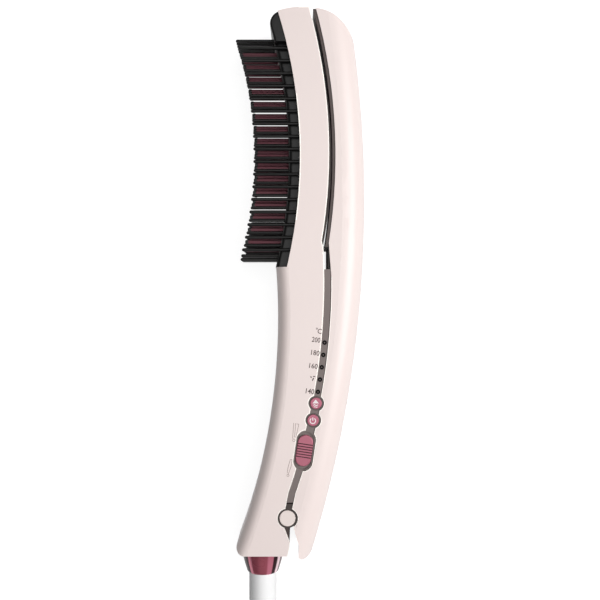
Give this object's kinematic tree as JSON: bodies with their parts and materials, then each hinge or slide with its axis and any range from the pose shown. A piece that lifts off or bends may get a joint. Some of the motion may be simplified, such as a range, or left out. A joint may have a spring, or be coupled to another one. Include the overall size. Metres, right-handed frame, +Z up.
{
  "type": "hair straightening brush",
  "caption": "Corded hair straightener with a heated comb on its front edge, closing flat plates, a side control strip with slider and buttons, and a coiled mains cord.",
  "frame": {"origin": "on the flat side that the straightener rests on, at the centre of the bowed body's length", "axes": "+Y along the body towards the brush head, +Z up out of the side with the controls, +X from the teeth to the smooth back"},
  "size_m": [0.1061, 0.4721, 0.0373],
  "materials": {
    "shell_white": "satin",
    "strip_grey": "satin",
    "liner_grey": "satin",
    "cap_white": "satin",
    "pin_steel": "satin",
    "base_black": "matt",
    "comb_red": "satin",
    "tip_black": "matt",
    "heater_tan": "film wrapped",
    "plate_grey": "satin",
    "carrier_black": "matt",
    "sensor_tan": "satin",
    "board_green": "satin",
    "screw_steel": "satin",
    "switch_black": "matt",
    "lamp_clear": "clear",
    "window_black": "gloss",
    "ring_grey": "satin",
    "wire_white": "matt",
    "wire_red": "matt",
    "collar_red": "metallic gloss",
    "boot_white": "satin",
    "cord_white": "satin",
    "tie_black": "matt",
    "pin_nickel": "polished",
    "button_pink": "satin",
    "slider_pink": "satin"
  },
  "bodies": {
    "front_arm": {"front_shell": "shell_white", "front_cover": "strip_grey", "hinge_yoke": "liner_grey", "hinge_pin": "pin_steel", "hinge_cap_far": "cap_white", "hinge_cap_near": "cap_white", "hinge_spring": "pin_steel", "brush_base": "base_black", "heated_comb": "comb_red", "comb_tips": "tip_black", "comb_heater": "heater_tan", "front_plate": "plate_grey", "front_heater": "heater_tan", "front_carrier": "carrier_black", "front_thermostat": "sensor_tan", "circuit_board": "board_green", "board_screws": "screw_steel", "tact_switches": "switch_black", "indicator_lamps": "lamp_clear", "lamp_windows": "window_black", "button_rings": "ring_grey", "slide_switch": "switch_black", "power_parts": "switch_black", "front_screws": "screw_steel", "supply_wires": "wire_white", "heater_wires": "wire_red", "comb_wires": "wire_red", "cord_collar": "collar_red", "strain_relief": "boot_white", "cord_clamp": "switch_black", "cord_lead": "cord_white", "cord_coil": "cord_white", "cord_tie": "tie_black", "plug_body": "boot_white", "plug_pins": "pin_nickel"},
    "rear_arm": {"rear_shell": "shell_white", "rear_liner": "liner_grey", "rear_screws": "screw_steel", "rear_plate": "plate_grey", "rear_heater": "heater_tan", "rear_carrier": "carrier_black", "rear_thermal_fuse": "sensor_tan", "rear_wires": "wire_red"},
    "temperature_button": {"temperature_button": "button_pink"},
    "power_button": {"power_button": "button_pink"},
    "mode_slider": {"mode_slider": "slider_pink"}
  },
  "joints": [
    {"name": "jaw_hinge", "type": "hinge", "parent": "front_arm", "child": "rear_arm", "pos_m": [-0.00634, -0.1108, 0.0185], "axis": [0, 0, -1], "range_deg": [0, 14]},
    {"name": "temperature_press", "type": "slide", "parent": "front_arm", "child": "temperature_button", "axis": [0, 0, -1], "range_m": [0, 0.0005], "stiffness_N_per_m": 800},
    {"name": "power_press", "type": "slide", "parent": "front_arm", "child": "power_button", "axis": [0, 0, -1], "range_m": [0, 0.0005], "stiffness_N_per_m": 800},
    {"name": "mode_slide", "type": "slide", "parent": "front_arm", "child": "mode_slider", "axis": [0.1478, 0.989, 0], "range_m": [-0.0016, 0.0016]}
  ]
}
